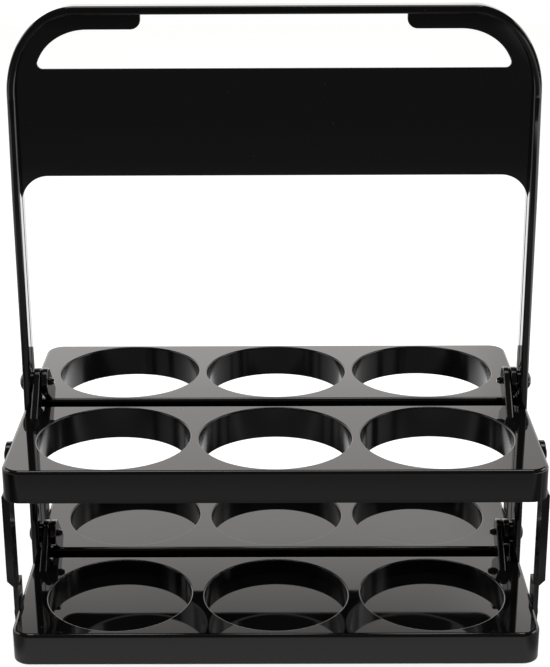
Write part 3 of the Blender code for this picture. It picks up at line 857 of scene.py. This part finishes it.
def pin_mesh(head, grip):
    """A snap pin along Z, head up."""
    tip = -grip - PIN_TIP_LENGTH
    profile = arc((0, 0), head, 90, 0, 12)
    profile += [(PIN_SHANK, 0), (PIN_SHANK, -grip)]
    profile += [(PIN_BARB - PIN_BARB_EDGE, -grip), (PIN_BARB, -grip - PIN_BARB_EDGE)]
    profile += [(PIN_BARB, -grip - PIN_TIP_LENGTH / 4), (PIN_TIP, tip), (0, tip)]
    pin = as_object(turned(profile, 48), "pin")
    slit = block(
        (-SLIT_HALF, -SLIT_REACH, tip - OVERRUN),
        (SLIT_HALF, SLIT_REACH, tip + SLIT_LENGTH))
    combine(pin, 'DIFFERENCE', [slit])
    mesh = pin.data
    bpy.data.objects.remove(pin)
    return mesh


def set_pin(mesh, name, body, side, seat, y, z):
    """A pin with the underside of its head at the seat, pointing inward."""
    turn = Matrix.Rotation(side * math.pi / 2, 4, 'Y')
    place = Matrix.Translation((side * seat, y, z)) @ turn
    finish_piece(copy_of(mesh, place, "pin"), name + "_fine", name, body, pin_plastic)


arch_pin = pin_mesh(ARCH_PIN_HEAD, ARCH_PIN_GRIP)
link_pin = pin_mesh(LINK_PIN_HEAD, LINK_PIN_GRIP)
for level, top in (("upper", UPPER_TRAY_TOP), ("lower", TRAY_HEIGHT)):
    for side, word in ((-1, "left"), (1, "right")):
        name = f"arch_pin_{level}_{word}"
        set_pin(arch_pin, name, "handle", side, ARCH_PIN_SEAT, 0, top + PIVOT_RISE)
        for row, y in (("front", -LINK_OFFSET), ("back", LINK_OFFSET)):
            name = f"link_pin_{level}_{row}_{word}"
            body = f"{level}_{row}"
            set_pin(link_pin, name, body, side, LINK_PIN_SEAT, y, top - LINK_DROP)
print("pins: 4 through the arch, 8 through the links")

# %% [markdown]
# ## The floor
#
# The carrier stands on white paper. The camera sees plain white, but black
# gloss shows what lies around it, and there the paper is far from even: it is
# brightest behind the carrier, and dark in front of it, where the shadow of
# the trays falls. So the paper glows with one brightness for the camera and,
# for glossy rays, with painted light that holds a painted shadow of the trays.
# The helpers below keep those node sums short.

# %% Helpers for sums in a node tree
def feed(socket, value):
    """Link a socket to another one, or set its value."""
    if isinstance(value, bpy.types.NodeSocket):
        wire(value, socket)
    else:
        socket.default_value = value


def result_of(operation, first, second, third=0):
    """The result of a Math node."""
    node = nodes.new('ShaderNodeMath')
    node.operation = operation
    for socket, value in zip(node.inputs, (first, second, third)):
        feed(socket, value)
    return node.outputs['Value']


def ramp_of(value, low, high, to_low=0, to_high=1, kind='SMOOTHSTEP'):
    """A change from one value to another while the input goes from low to high."""
    node = nodes.new('ShaderNodeMapRange')
    node.interpolation_type = kind
    feed(node.inputs['Value'], value)
    node.inputs['From Min'].default_value = low
    node.inputs['From Max'].default_value = high
    node.inputs['To Min'].default_value = to_low
    node.inputs['To Max'].default_value = to_high
    return node.outputs['Result']


# %% The paper
FLOOR_REACH = 2.4                 # from the middle to each side
FLOOR_DROP = 0.0002               # keeps the paper clear of the trays' feet

floor_shape = bmesh.new()
bmesh.ops.create_grid(floor_shape, x_segments=8, y_segments=8, size=FLOOR_REACH)
floor = as_object(floor_shape, "floor")
floor.location.z = -FLOOR_DROP
paper = bpy.data.materials.new("white paper")
paper.use_nodes = True
nodes = paper.node_tree.nodes
wire = paper.node_tree.links.new
nodes.clear()
output = nodes.new('ShaderNodeOutputMaterial')
rays = nodes.new('ShaderNodeLightPath')
for_gloss = rays.outputs['Is Glossy Ray']
# For glossy rays the paper's colour is black, so the gloss shows only the painted light of its
# glow.
paper_colour = nodes.new('ShaderNodeMix')
paper_colour.data_type = 'RGBA'
paper_colour.inputs['A'].default_value = (0.80, 0.79, 0.77, 1)
paper_colour.inputs['B'].default_value = (0, 0, 0, 1)
wire(for_gloss, paper_colour.inputs['Factor'])
matt = nodes.new('ShaderNodeBsdfDiffuse')
wire(paper_colour.outputs['Result'], matt.inputs['Color'])
where = nodes.new('ShaderNodeTexCoord')
axes = nodes.new('ShaderNodeSeparateXYZ')
wire(where.outputs['Object'], axes.inputs['Vector'])
x, y = axes.outputs['X'], axes.outputs['Y']

# %% The paper's soft front edge
# Towards the camera the paper thins out, so that its bright side only lights
# the carrier from behind. Glossy rays see it whole. Each ramp here and below
# gives where it starts and ends, and how much it amounts to at both. One with
# only two numbers goes from nothing to all.
WING = (0.5, 0.9, 0, 0.5)
EDGE_SOFTNESS = 0.14

wing = ramp_of(result_of('ABSOLUTE', x, 0), *WING)
in_front = result_of('MINIMUM', result_of('ADD', y, wing), 0)
in_front = result_of('DIVIDE', in_front, EDGE_SOFTNESS)
cover = result_of('DIVIDE', 1, result_of('MULTIPLY_ADD', in_front, in_front, 1))
cover = result_of('MAXIMUM', cover, for_gloss)

# %% Brightness from front to back
# Each pair is a place in metres, from the front to the back, and how bright
# the paper glows there for glossy rays. This glow is painted light, and the
# low steps from -0.30 to -0.19 are the painted shadow of the upper trays.
SHEET_NEAR, SHEET_FAR = -1.5, 0.5
SHEET_LIGHT = (
    (-1.42, 0.11), (-1.15, 0.13), (-0.98, 0.27), (-0.37, 0.25),
    (-0.33, 0.34), (-0.30, 0.12), (-0.19, 0.12), (-0.13, 0.55),
    (-0.03, 0.68), (0.05, 0.85), (0.35, 1.85))
painted_light_steps = nodes.new('ShaderNodeValToRGB')
wire(ramp_of(y, SHEET_NEAR, SHEET_FAR, kind='LINEAR'), painted_light_steps.inputs['Fac'])
for index, (place, light) in enumerate(SHEET_LIGHT):
    share = (place - SHEET_NEAR) / (SHEET_FAR - SHEET_NEAR)
    if index < 2:
        stop = painted_light_steps.color_ramp.elements[index]
        stop.position = share
    else:
        stop = painted_light_steps.color_ramp.elements.new(share)
    stop.color = (light, light, light, 1)

# %% Brightness from side to side
# In the gloss the paper is dim close beside the carrier, a painted shade where
# the carrier shades it, and its painted light is dimmer for some way to the
# left of it. Far out at both sides its painted light is bright again, and that
# draws the light lines along the round edges of the uprights.
LEFT_DIM, LEFT_DIM_FROM = (-0.22, -0.40, 0, 0.75), (-0.70, -0.40)
BESIDE_DIM, BESIDE_DIM_FROM = (0.155, 0.175, 0, 0.65), (-0.16, -0.12)
FAR_RIGHT, FAR_LEFT = (0.42, 0.62, 0, 1.8), (-0.55, -0.80, 0, 0.9)
CAMERA_GLOW = 0.78

dim_left = result_of('MULTIPLY', ramp_of(x, *LEFT_DIM), ramp_of(y, *LEFT_DIM_FROM))
beside = ramp_of(result_of('ABSOLUTE', x, 0), *BESIDE_DIM)
beside = result_of('MULTIPLY', beside, ramp_of(y, *BESIDE_DIM_FROM))
shaded = result_of('MAXIMUM', dim_left, beside)
middle = result_of('MULTIPLY', painted_light_steps.outputs['Color'], result_of('SUBTRACT', 1, shaded))
far_sides = result_of('MAXIMUM', ramp_of(x, *FAR_RIGHT), ramp_of(x, *FAR_LEFT))
painted_gloss_light = result_of('MULTIPLY', result_of('MAXIMUM', middle, far_sides), for_gloss)
for_camera = rays.outputs['Is Camera Ray']
brightness = result_of('MULTIPLY_ADD', for_camera, CAMERA_GLOW, painted_gloss_light)

# %% Put the paper together
glow = nodes.new('ShaderNodeEmission')
wire(brightness, glow.inputs['Strength'])
both = nodes.new('ShaderNodeAddShader')
wire(matt.outputs['BSDF'], both.inputs[0])
wire(glow.outputs['Emission'], both.inputs[1])
clear = nodes.new('ShaderNodeBsdfTransparent')
soft = nodes.new('ShaderNodeMixShader')
wire(cover, soft.inputs['Fac'])
wire(clear.outputs['BSDF'], soft.inputs[1])
wire(both.outputs['Shader'], soft.inputs[2])
wire(soft.outputs['Shader'], output.inputs['Surface'])
floor.data.materials.append(paper)
print("floor: white paper, with", len(SHEET_LIGHT), "steps of brightness in the gloss")

# %% [markdown]
# ## The room and the lamps
#
# Behind the carrier the room is a bright wall that ends at about thirty
# degrees above the horizon. The tops of the trays mirror that wall,
# which makes them light grey, and every edge that turns a little further
# upward falls dark at once. The rest of the room is dim. The camera itself
# sees a plain white background.

# %% The room
world = bpy.data.worlds.new("white room")
bpy.context.scene.world = world
world.use_nodes = True
nodes = world.node_tree.nodes
wire = world.node_tree.links.new
nodes.clear()
output = nodes.new('ShaderNodeOutputWorld')
axes = nodes.new('ShaderNodeSeparateXYZ')
wire(nodes.new('ShaderNodeTexCoord').outputs['Generated'], axes.inputs['Vector'])
x, y, z = (axes.outputs[name] for name in "XYZ")

# %% The bright wall
WALL_SIDE = (-0.50, 0.85)
WALL_TOP = (0.545, 0.455, 0, 1.50)
WALL_FOOT = (0.385, 0.355, 0, 0.20)

back = ramp_of(y, *WALL_SIDE)
wall = ramp_of(z, *WALL_TOP, 'LINEAR')
foot_of_wall = ramp_of(z, *WALL_FOOT)
wall = result_of('ADD', wall, foot_of_wall)

# %% Towards its right end the wall is dimmer but reaches higher
RIGHT_DIM, RIGHT_DIM_BELOW = (0.09, 0.16, 0, 0.30), (0.49, 0.43)
RIGHT_TOP, RIGHT_TOP_BELOW, RIGHT_TOP_ABOVE = (0.09, 0.16, 0, 0.40), (0.58, 0.50), (0.43, 0.49)

right_end = result_of('MULTIPLY', ramp_of(x, *RIGHT_DIM), ramp_of(z, *RIGHT_DIM_BELOW))
wall = result_of('MULTIPLY', wall, result_of('SUBTRACT', 1, right_end))
right_top = result_of('MULTIPLY', ramp_of(x, *RIGHT_TOP), ramp_of(z, *RIGHT_TOP_BELOW))
right_top = result_of('MULTIPLY', right_top, ramp_of(z, *RIGHT_TOP_ABOVE))
wall = result_of('MULTIPLY', back, result_of('ADD', wall, right_top))

# %% White for the camera, the room for everything else
ROOM_LIGHT = 0.08

room = nodes.new('ShaderNodeBackground')
room.inputs['Color'].default_value = (1.0, 0.97, 0.95, 1)
wire(result_of('ADD', wall, ROOM_LIGHT), room.inputs['Strength'])
white = nodes.new('ShaderNodeBackground')
white.inputs['Color'].default_value = (1, 1, 1, 1)
rays = nodes.new('ShaderNodeLightPath')
mix = nodes.new('ShaderNodeMixShader')
wire(rays.outputs['Is Camera Ray'], mix.inputs['Fac'])
wire(room.outputs['Background'], mix.inputs[1])
wire(white.outputs['Background'], mix.inputs[2])
wire(mix.outputs['Shader'], output.inputs['Surface'])


# %% The lamps
LAMP_AIM = Vector((0, 0, 0.1))
SOFTBOXES = (                     # name, place, width, height and power in watts
    ("top softbox", (0, 0.1, 1.6), 1.0, 0.5, 6),
    ("right softbox", (1.2, 0.15, 0.9), 0.8, 0.45, 3.4),
    ("left softbox", (-1.2, 0.15, 0.9), 0.7, 0.40, 1.8),
)


def softbox(name, place, width, height, power):
    """A rectangular lamp that points at the carrier."""
    data = bpy.data.lights.new(name, 'AREA')
    data.shape = 'RECTANGLE'
    data.size = width
    data.size_y = height
    data.energy = power
    lamp = bpy.data.objects.new(name, data)
    bpy.context.scene.collection.objects.link(lamp)
    lamp.location = place
    direction = LAMP_AIM - Vector(place)
    lamp.rotation_euler = direction.to_track_quat('-Z', 'Y').to_euler()


for name, place, width, height, power in SOFTBOXES:
    softbox(name, place, width, height, power)
print("floor, room and lamps are set")

# %% [markdown]
# ## Last setting
#
# The colours are shown with the Standard view transform.

# %% Finish
bpy.context.scene.view_settings.view_transform = 'Standard'
